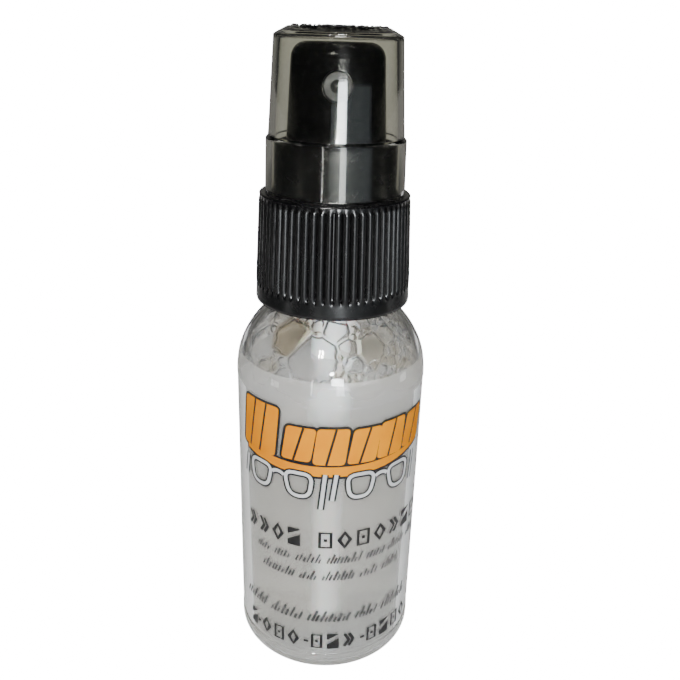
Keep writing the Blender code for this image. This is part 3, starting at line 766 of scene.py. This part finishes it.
def make_label():
    """The clear wrap film, with a gap at the back."""
    inner = LABEL_RADIUS - LABEL_THICKNESS
    sides = 200
    half_wrap = math.radians(LABEL_HALF_WRAP)
    rows = line((inner, LABEL_BOTTOM), (LABEL_RADIUS, LABEL_BOTTOM), 1)
    rows += [(LABEL_RADIUS, LABEL_BOTTOM), (LABEL_RADIUS, LABEL_TOP), (inner, LABEL_TOP)]
    points, faces = [], []
    for i in range(sides + 1):
        angle = -half_wrap + 2 * half_wrap * i / sides
        points += [(r * math.sin(angle), -r * math.cos(angle), z) for r, z in rows]
    for i in range(sides):
        for j in range(4):
            a, b = 4 * i + j, 4 * i + (j + 1) % 4
            faces.append((a, b, b + 4, a + 4))
    faces += [(0, 1, 2, 3), tuple(4 * sides + j for j in range(4))]
    film = add_piece(
        "label_clear", points, faces, thin_film("label_film", (0.985, 0.985, 0.98)),
        "bottle_body", ("label_film",),
    )
    film.visible_shadow = False


def rounded(corners, radius, steps=5):
    """A closed loop through these corners, each one rounded off."""
    loop = []
    for i, corner in enumerate(corners):
        before, here, after = (Vector(p) for p in (corners[i - 1], corner, corners[(i + 1) % len(corners)]))
        cut = min(radius, (before - here).length * 0.45, (after - here).length * 0.45)
        start = here + (before - here).normalized() * cut
        end = here + (after - here).normalized() * cut
        for k in range(steps + 1):
            t = k / steps
            loop.append(tuple(start * (1 - t) ** 2 + here * 2 * t * (1 - t) + end * t * t))
    return loop


def ellipse(centre, across, up, start=0, end=360, steps=48):
    return [
        (centre[0] + across * math.cos(math.radians(a)), centre[1] + up * math.sin(math.radians(a)))
        for a in np.linspace(start, end, steps + 1)
    ]


def stroke(path, width, closed=False):
    """A line of even width along a path, as four-cornered areas."""
    path = [Vector(p) for p in path]
    if closed and (path[0] - path[-1]).length < 1e-6:
        path.pop()
    count = len(path)
    sides = []
    for i, here in enumerate(path):
        before = path[i - 1] if closed or i > 0 else here
        after = path[(i + 1) % count] if closed or i < count - 1 else here
        along = (after - before).normalized()
        across = Vector((-along.y, along.x)) * (width / 2)
        sides.append((tuple(here + across), tuple(here - across)))
    pairs = list(zip(sides, sides[1:])) + ([(sides[-1], sides[0])] if closed else [])
    return [(a, b, d, c) for (a, b), (c, d) in pairs]


def print_piece(name, areas, lift, thickness, material):
    """Wraps flat areas of (arc, height) points on the label, this far off its film."""
    bm = bmesh.new()
    for area in areas:
        bm.faces.new([bm.verts.new((s, 0, z)) for s, z in area])
    bmesh.ops.triangulate(bm, faces=bm.faces[:])
    reach = max(abs(v.co.x) for v in bm.verts)
    step = 0.7
    for k in range(-int(reach / step), int(reach / step) + 1):
        everything = bm.verts[:] + bm.edges[:] + bm.faces[:]
        bmesh.ops.bisect_plane(bm, geom=everything, dist=1e-5, plane_co=(k * step, 0, 0), plane_no=(1, 0, 0))
    raised = bmesh.ops.extrude_face_region(bm, geom=bm.faces[:])["geom"]
    for v in (g for g in raised if isinstance(g, bmesh.types.BMVert)):
        v.co.y = thickness
    for v in bm.verts:
        radius = LABEL_RADIUS + lift + v.co.y
        angle = v.co.x / LABEL_RADIUS
        v.co = (radius * math.sin(angle) * MM, -radius * math.cos(angle) * MM, v.co.z * MM)
    bmesh.ops.recalc_face_normals(bm, faces=bm.faces)
    mesh = bpy.data.meshes.new(name)
    bm.to_mesh(mesh)
    bm.free()
    return finish_piece(bpy.data.objects.new(name, mesh), material, "bottle_body")


def tile(left, bottom, width, height, lean):
    """A leaning block with rounded corners, as a loop."""
    shift = lean * height
    corners = [
        (left, bottom), (left + width, bottom),
        (left + width + shift, bottom + height), (left + shift, bottom + height),
    ]
    return rounded(corners, 0.7, 4)


# The orange row's tiles: left end, bottom, width, height and lean, in millimetres on the label
TILES = (
    (-15.9, 40.1, 7.3, 8.5, 0.10), (-7.4, 40.5, 4.7, 5.7, 0.16), (-2.4, 40.2, 4.9, 6.1, 0.12),
    (2.8, 40.3, 4.6, 5.8, 0.17), (7.6, 40.4, 4.9, 6.0, 0.12), (12.7, 40.6, 5.0, 5.6, 0.20),
)


def orange_art():
    """A tall leaning tile, a row of lower ones and a long band under them."""
    shapes = [tile(*numbers) for numbers in TILES]
    low = [(s, 38.2 + 0.0065 * (s + 1) ** 2) for s in np.linspace(-14.8, 17.5, 24)]
    high = [(s, 39.9 + 0.0030 * (s + 1) ** 2) for s in np.linspace(17.5, -14.8, 24)]
    return shapes + [low + high]


def tile_lines():
    """Leaning lines that divide the orange tiles."""
    paths = []
    for left, bottom, width, height, lean in TILES:
        for across in ((0.3, 0.62) if width > 6 else (0.5,)):
            s = left + across * width
            paths.append([(s - 0.35, bottom), (s + lean * height + 0.35, bottom + height)])
    return paths


def hollow_paths():
    """Centre lines of the outlined row: two pairs of spectacles between leaning bars."""
    paths = []
    for middle in (-8.0, 8.6):
        for side in (-1, 1):
            near, far = middle + side * 1.1, middle + side * 5.7
            lens = [(near, 38.4), (far, 38.4), (far - side * 0.5, 34.4), (near + side * 0.9, 34.4)]
            paths.append((rounded(lens, 1.6), True))
        paths.append((ellipse((middle, 37.2), 1.1, 0.7, 20, 160, 10), False))
    for s, low, high in ((-15.0, 34.6, 38.2), (-0.7, 32.4, 38.6), (1.0, 34.0, 38.6), (15.9, 33.8, 38.8)):
        paths.append(([(s - 0.3, low), (s + 0.3, high)], False))
    return paths


def mark(kind, left, bottom, width, height, weight):
    """One generic mark: a diamond, a frame with a dot, two chevrons, or a block with a slanted cut."""
    a, b = left + weight / 2, left + width - weight / 2
    low, high = bottom + weight / 2, bottom + height - weight / 2
    s, z = (a + b) / 2, (low + high) / 2
    if kind == "diamond":
        return stroke([(s, low), (b, z), (s, high), (a, z)], weight * 1.3, True)
    if kind == "frame":
        dot = [(s - weight / 2, z - weight / 2), (s + weight / 2, z - weight / 2),
               (s + weight / 2, z + weight / 2), (s - weight / 2, z + weight / 2)]
        return stroke([(a, low), (b, low), (b, high), (a, high)], weight, True) + [dot]
    if kind == "chevrons":
        return [
            area for shift in (0, s - a) for area in
            stroke([(a + shift, low), (s + shift, z), (a + shift, high)], weight * 1.1)
        ]
    right, top, cut = left + width, bottom + height, height * 0.16
    return [
        [(left, bottom), (right, bottom), (right, z - cut + 0.35 * height), (left, z - cut - 0.05 * height)],
        [(left, z + cut - 0.05 * height), (right, z + cut + 0.30 * height), (right, top), (left, top)],
    ]


def marks(left, bottom, count, width, height, pitch, weight, rng):
    """A run of generic marks."""
    kinds = ("diamond", "frame", "chevrons", "block")
    return [
        area for i in range(count)
        for area in mark(rng.choice(kinds), left + i * pitch, bottom, width, height, weight)
    ]


def ticks(left, right, bottom, height, pitch, weight, rng):
    """A line of short leaning strokes, long and short by turns, in runs of different lengths."""
    areas = []
    s = left
    while s < right:
        for i in range(rng.randint(4, 10)):
            tall = height * (rng.choice((1.0, 1.35)) if i % 2 else rng.choice((0.6, 0.85)))
            areas += stroke([(s, bottom), (s + 0.4 * tall, bottom + tall)], weight * rng.uniform(0.9, 1.4))
            s += pitch * rng.uniform(0.8, 1.2)
        s += pitch * 1.3
    return areas


def make_print():
    """All the print. It stands for the label's words and mark, and has no lettering."""
    rng = random.Random(5)
    black = ink("ink_black", (0.008, 0.008, 0.009), (0.02, 0.02, 0.02), specular=0.15)
    grey = ink("ink_grey", (0.02, 0.02, 0.021), (0.07, 0.07, 0.07), 1.0)
    orange = ink("ink_orange", (0.72, 0.23, 0.0), (0.82, 0.30, 0.0), 9.0, 0.6, 0.06)
    pale = ink("ink_pale", (0.55, 0.56, 0.57), (0.66, 0.66, 0.66))
    art = orange_art()
    edges = [quad for shape in art for quad in stroke(shape, 0.80, True)]
    print_piece("print_orange_edge", edges, 0.004, 0.006, black)
    print_piece("print_orange", art, 0.013, 0.006, orange)
    paths = hollow_paths()
    outlines = [q for p, c in paths for q in stroke(p, 1.15, c)]
    outlines += [q for p in tile_lines() for q in stroke(p, 0.36)]
    print_piece("print_outline", outlines, 0.022, 0.005, black)
    print_piece("print_hollow", [q for p, c in paths for q in stroke(p, 0.58, c)], 0.03, 0.005, pale)
    bold = marks(-14.8, 25.1, 4, 2.1, 3.2, 2.85, 0.52, rng) + marks(-1.3, 25.1, 7, 2.3, 3.2, 3.05, 0.52, rng)
    low = marks(-14.6, 4.9, 1, 1.6, 3.1, 2.6, 0.50, rng)
    for left, count in ((-11.6, 3), (-2.2, 3), (7.4, 4)):
        low += marks(left, 4.9, count, 2.0, 3.1, 2.7, 0.50, rng)
        low += stroke([(left - 1.2, 6.3), (left - 0.4, 6.3)], 0.45)
    print_piece("print_bold", bold + low, 0.004, 0.006, black)
    fine = ticks(-12.4, 17.0, 22.3, 1.3, 0.60, 0.27, rng)
    fine += ticks(-11.2, 14.5, 19.0, 1.3, 0.60, 0.27, rng)
    fine += ticks(-15.8, 16.6, 10.6, 1.6, 0.72, 0.33, rng)
    print_piece("print_fine", fine, 0.004, 0.006, grey)


# ==== Collar, button and overcap


def collar_crest(height):
    share = (height - COLLAR_BOTTOM) / (LEDGE - COLLAR_BOTTOM)
    return COLLAR_RADIUS + (LEDGE_RADIUS - COLLAR_RADIUS) * share


def collar_details(radius, height, angle):
    """Rounds the ribs off towards their grooves, one groove wider at the front, and raises the thread."""
    turn = (angle / math.tau * RIBS) % 1.0
    from_crest = np.abs(turn - 0.5) * 2
    wide = np.abs(angle - 1.5 * math.pi) < math.pi / RIBS
    from_crest = np.clip(from_crest * np.where(wide, 1.15, 1.0), 0, 1)
    ends = np.clip((height - RIB_BOTTOM) / 1.1, 0, 1) * np.clip((RIB_TOP - height) / 0.35, 0, 1)
    ends = ends**2 * (3 - 2 * ends)
    cut = RIB_STEP + ends * (RIB_DEPTH * from_crest**2.2 - RIB_STEP)
    outside = (radius > COLLAR_BORE + 0.6) & (height > RIB_BOTTOM - 2) & (height < RIB_TOP + 0.4)
    radius = np.where(outside, radius - cut, radius)
    inside = (np.abs(radius - COLLAR_BORE) < 0.01) & (height < 75)
    ridge = thread(height, angle, THREAD_START - THREAD_PITCH / 2)
    return np.where(inside, radius - ridge, radius), height


def make_collar():
    """The ribbed collar and the smooth sleeve above it."""
    bore = SLEEVE_RADIUS - 0.85
    outline = line((COLLAR_BORE, NECK_TOP + 0.8), (COLLAR_BORE, COLLAR_BOTTOM + 0.15), 40)
    outline += [(COLLAR_BORE + 0.15, COLLAR_BOTTOM)]
    outline += arc((COLLAR_RADIUS - 0.55, COLLAR_BOTTOM + 0.55), 0.55, -90, -4, 8)
    foot, top = (COLLAR_RADIUS - 0.02, COLLAR_BOTTOM + 0.7), (collar_crest(RIB_TOP + 0.2), RIB_TOP + 0.2)
    outline += line(foot, top, 56)
    outline += arc((LEDGE_RADIUS - 0.35, LEDGE - 0.35), 0.35, 5, 90, 6)
    outline += arc((SLEEVE_RADIUS + 0.2, LEDGE + 0.2), 0.2, 270, 180, 4)
    outline += arc((SLEEVE_RADIUS - 0.35, SLEEVE_TOP - 0.3), 0.3, 0, 90, 5)
    outline += arc((bore + 0.2, SLEEVE_TOP - 0.2), 0.2, 90, 180, 4)
    plate_bottom, plate_top = 78.3, 79.4
    outline += [
        (bore, plate_top), (4.3, plate_top), (4.3, plate_bottom), (SLEEVE_RADIUS - 0.4, plate_bottom),
        (SLEEVE_RADIUS - 0.4, NECK_TOP + 0.8),
    ]
    points, faces = turned(outline, RIBS * 14, collar_details)
    dust = (0.016, 0.016, 0.016)
    material = moulded_black("black_collar", (0.0022, 0.0022, 0.0024), dust, (0.16, 0.28), 0.45)
    add_piece("collar_ribbed", points, faces, material, "collar_body", ("collar",), sharp=40)


def make_button():
    """The button: tapered, round-topped and slightly dished, hollow below, with its nozzle bore."""
    wall = 1.0
    corner = 2.2
    ceiling = BUTTON_TOP - 2.4
    boss, socket, feed = 3.1, 2.0, 0.7
    outline = [(0, BUTTON_TOP - 0.25), (1.5, BUTTON_TOP - 0.235), (3.0, BUTTON_TOP - 0.15)]
    outline += arc((BUTTON_TOP_RADIUS - corner, BUTTON_TOP - corner), corner, 90, 3, 20)
    outline += line((BUTTON_TOP_RADIUS, BUTTON_TOP - corner), (BUTTON_RADIUS, BUTTON_BOTTOM + 0.12), 20)
    outline += [
        (BUTTON_RADIUS, BUTTON_BOTTOM + 0.1), (BUTTON_RADIUS - 0.1, BUTTON_BOTTOM),
        (BUTTON_RADIUS - wall, BUTTON_BOTTOM), (BUTTON_TOP_RADIUS - wall, ceiling), (boss, ceiling),
        (boss, BUTTON_BOTTOM + 0.8), (socket, BUTTON_BOTTOM + 0.8), (socket, 91.5), (feed, 91.5),
        (feed, NOZZLE_HEIGHT + 2.1), (0, NOZZLE_HEIGHT + 2.1),
    ]
    points, faces = turned(outline, 144)
    dust = (0.006, 0.006, 0.006)
    material = moulded_black("black_button", (0.0015, 0.0015, 0.0017), dust, (0.06, 0.14), 0.4)
    button = add_piece("button", points, faces, material, "button_body", ("actuator",))
    for radius, start, end, height, operation in (
        (3.3, -2.0, -5.8, NOZZLE_HEIGHT, "UNION"),
        (NOZZLE_BORE, -4.0, -7.5, NOZZLE_HEIGHT, "DIFFERENCE"),
        (1.3, -3.7, -5.6, NOZZLE_HEIGHT, "UNION"),
        (0.32, 0.0, -4.4, NOZZLE_HEIGHT + 1.66, "DIFFERENCE"),
    ):
        carve(button, rod(radius, start, end, height), operation)
    button.data.shade_smooth()
    button.data.set_sharp_from_angle(angle=math.radians(30))


def make_nozzle_insert():
    """The orifice cup, with a dished face round its orifice."""
    outside, face = NOZZLE_BORE - 0.1, 6.3
    outline = [(0.15, face - 0.42), (0.2, face - 0.36), (0.5, face - 0.3), (0.8, face - 0.06), (0.92, face)]
    outline += arc((outside - 0.18, face - 0.18), 0.18, 90, 0, 5)
    outline += [(outside, 4.3), (1.42, 4.3), (1.42, face - 0.55), (0.15, face - 0.55)]
    points, faces = turned(outline, 72)
    points = np.column_stack((points[:, 0], -points[:, 2], points[:, 1] + NOZZLE_HEIGHT))
    material = moulded_black("black_insert", (0.002, 0.002, 0.002), (0.01, 0.01, 0.01), (0.42, 0.55), 0.35)
    add_piece("nozzle_cup", points, faces, material, "button_body", ("nozzle_insert",))


def cap_details(radius, height, angle):
    """Raises the small pips on the overcap's flat top."""
    rng = random.Random(3)
    pips = []
    while len(pips) < 90:
        r, a = CAP_FLAT_RADIUS * math.sqrt(rng.random()), rng.uniform(0, math.tau)
        x, y = r * math.cos(a), r * math.sin(a)
        if r < 6.7 and all(math.hypot(x - p[0], y - p[1]) > 0.85 for p in pips):
            pips.append((x, y, rng.uniform(0.2, 0.42)))
    x, y = radius * np.cos(angle), radius * np.sin(angle)
    top = (height > CAP_RIM - 0.05) & (height > CAP_TOP - PIP_HEIGHT - 1.2)
    raised = np.zeros_like(radius)
    for px, py, size in pips:
        off = np.hypot(x - px, y - py) / size
        raised = np.maximum(raised, PIP_HEIGHT * np.clip(1 - off**2, 0, 1))
    return radius, height + np.where(top & (radius < CAP_FLAT_RADIUS), raised, 0)


def make_overcap():
    """The clear overcap: skirt, step, tapered wall, chamfer and a stippled top with small pips."""
    foot, step = CAP_RADIUS, CAP_RADIUS - 0.14
    above, rim = CAP_UPPER_RADII
    flat = CAP_TOP - PIP_HEIGHT
    outline = [(0, flat)] + [(0.14 * i, flat) for i in range(1, 50)]
    outline += [(CAP_FLAT_RADIUS, flat - 0.02)]
    outline += line((CAP_FLAT_RADIUS + 0.1, flat - 0.05), (rim - 0.25, CAP_RIM + 0.08), 8)
    outline += arc((rim - 0.3, CAP_RIM - 0.25), 0.3, 70, 4, 5)
    outline += line((rim, CAP_RIM - 0.3), (above, CAP_STEP + 0.3), 6)
    outline += [(above + 0.02, CAP_STEP + 0.25), (above + 0.12, CAP_STEP + 0.1)]
    outline += [(step - 0.08, CAP_STEP - 0.05)]
    outline += [(step, CAP_STEP - 0.2), (foot, CAP_BOTTOM + 0.15)]
    outline += arc((foot - 0.15, CAP_BOTTOM + 0.15), 0.15, -10, -90, 3)
    outline += [(foot - CAP_WALL + 0.1, CAP_BOTTOM), (foot - CAP_WALL, CAP_BOTTOM + 0.1)]
    outline += [
        (step - CAP_WALL + 0.05, SLEEVE_TOP + 0.3), (above - CAP_WALL + 0.1, SLEEVE_TOP + 0.5),
        (above - CAP_WALL, SLEEVE_TOP + 0.65), (rim - CAP_WALL, CAP_RIM - 0.75),
    ]
    outline += arc((rim - CAP_WALL - 0.6, CAP_RIM - 0.75), 0.6, 5, 85, 6)
    outline += [(CAP_FLAT_RADIUS, CAP_TOP - 1.2), (0, CAP_TOP - 1.2)]
    points, faces = turned(outline, 192, cap_details)
    material = clear_plastic("clear_cap", (0.865, 0.865, 0.79), 1.49, 0.02)
    cap = add_piece("overcap_clear", points, faces, material, "overcap_body", ("overcap",))
    cap.visible_shadow = False


# ==== Pump


def make_housing():
    """The pump cylinder with its tube socket, more finely turned than the CAD's."""
    socket, seat, inlet = TUBE_RADIUS + 0.15, SPRING_SHELF - 2.0, TUBE_RADIUS - 1.0
    outline = [
        (FLANGE_RADIUS, FLANGE_TOP), (FLANGE_RADIUS, FLANGE_TOP - FLANGE_THICKNESS),
        (CUP_RADIUS, FLANGE_TOP - FLANGE_THICKNESS), (CUP_RADIUS, CUP_FLOOR), (PUMP_RADIUS, CUP_FLOOR - 1.5),
    ]
    outline += line((PUMP_RADIUS, CUP_FLOOR - 1.6), (PUMP_RADIUS, SPRING_SHELF - 0.4), 8)
    outline += arc((PUMP_RADIUS - 0.3, SPRING_SHELF - 0.5), 0.3, 0, -60, 3)
    outline += [
        (socket + 0.75, SPRING_SHELF - 1.6), (socket + 0.75, SOCKET_BOTTOM + 0.2),
        (socket + 0.6, SOCKET_BOTTOM), (socket, SOCKET_BOTTOM), (socket, seat - 1.8), (inlet, seat - 1.8),
        (inlet, seat - 0.8), (1.5, seat), (1.5, SPRING_SHELF), (PUMP_BORE, SPRING_SHELF),
        (PUMP_BORE, CUP_FLOOR - 0.4), (PUMP_BORE + 0.3, CUP_FLOOR), (CUP_RADIUS - 0.8, CUP_FLOOR),
        (CUP_RADIUS - 0.8, FLANGE_TOP),
    ]
    points, faces = turned(outline, 96)
    material = natural_plastic("natural_plastic", (0.74, 0.77, 0.79))
    add_piece("pump_cylinder", points, faces, material, "pump_body", ("pump_housing",))
    return material


def make_dip_tube():
    """The suction tube, cut at a slant at its foot."""
    bore = TUBE_RADIUS - TUBE_WALL

    def slant(radius, height, angle):
        cut = TUBE_SLANT * (radius * np.cos(angle) + TUBE_RADIUS)
        return radius, np.where(height < TUBE_BOTTOM + 0.1, height + cut, height)

    outline = [(bore, TUBE_BOTTOM), (TUBE_RADIUS, TUBE_BOTTOM), (TUBE_RADIUS, TUBE_TOP), (bore, TUBE_TOP)]
    points, faces = turned(outline, 64, slant)
    material = natural_plastic("soft_plastic", (0.78, 0.79, 0.80), 1.5)
    add_piece("suction_tube", points, faces, material, "pump_body", ("dip_tube",))
    return material


def make_springs(wire):
    """Both springs, as copies of the CAD's coils that shorten as the pump is worked."""
    behaviour = frame["record"]["behaviour"]
    for joint in behaviour["joints"]:
        for spring in joint.get("deforming_nodes", ()):
            node = spring["node"]
            body = next(name for name, nodes in behaviour["bodies"].items() if node in nodes)
            coil = bpy.data.objects.new(node + "_coil", frame["nodes"][node].data.copy())
            coil.data.materials.clear()
            finish_piece(coil, wire, body, (node,))
            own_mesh(coil)


def dress_hidden_nodes(natural, soft, wire):
    """Better materials for the pump's CAD nodes, whose shapes are right already."""
    rubber = new_material("gasket", Specular_IOR_Level=0.3)
    mottle(rubber, 0.7, (0.62, 0.61, 0.58), (0.72, 0.71, 0.68))
    uneven_gloss(rubber, 0.55, 0.8, 0.5, 3)
    bump(rubber, noise(rubber, 0.3, 3), 0.01)
    for node, material in (
        ("turret", natural), ("stem", natural), ("neck_gasket", rubber), ("piston", soft),
        ("valve_pin", soft), ("inlet_ball", wire),
    ):
        data = frame["nodes"][node].data
        data.materials.clear()
        data.materials.append(material)


make_camera()
make_stage()
make_lights()
make_bottle()
make_liquid()
make_foam()
make_label()
make_print()
make_collar()
make_button()
make_nozzle_insert()
make_overcap()
natural = make_housing()
soft = make_dip_tube()
wire = steel("spring_steel")
make_springs(wire)
dress_hidden_nodes(natural, soft, wire)
